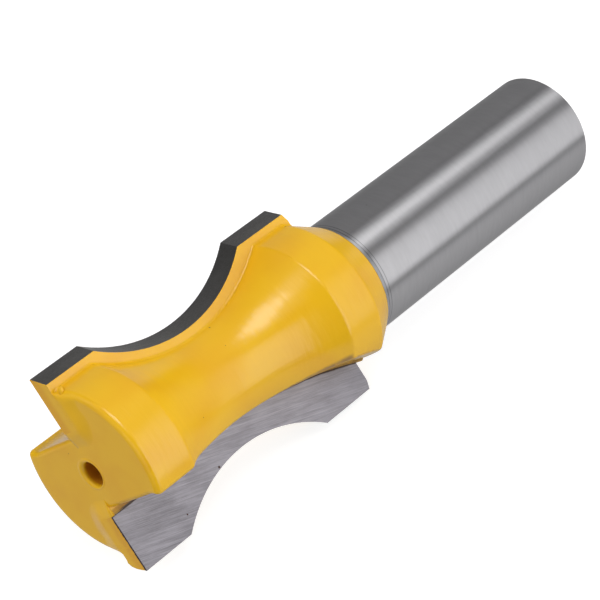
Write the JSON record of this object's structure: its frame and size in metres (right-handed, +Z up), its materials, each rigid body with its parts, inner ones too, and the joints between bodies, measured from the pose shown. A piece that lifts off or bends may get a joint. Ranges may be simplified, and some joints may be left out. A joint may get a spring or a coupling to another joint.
{
  "type": "router bit",
  "caption": "Half-round router bit: a turned head with a waist, milled wings with brazed cutting tips, and a plain round shank.",
  "frame": {"origin": "bottom centre of the lying bit's bounding box", "axes": "+X along the bit on the floor, from the cutting head to the shank's end; +Z up; the bit lies on one cutting edge, the wing beside it and the rim of the shank's end"},
  "size_m": [0.0728, 0.0178, 0.0198],
  "materials": {
    "body": "gloss yellow paint on the head, bare ground steel on the shank",
    "tips": "fine-ground rake faces, dark ground edges"
  },
  "bodies": {
    "root": {"body": "body", "carbide_tip_1": "tips", "carbide_tip_2": "tips"}
  },
  "joints": []
}
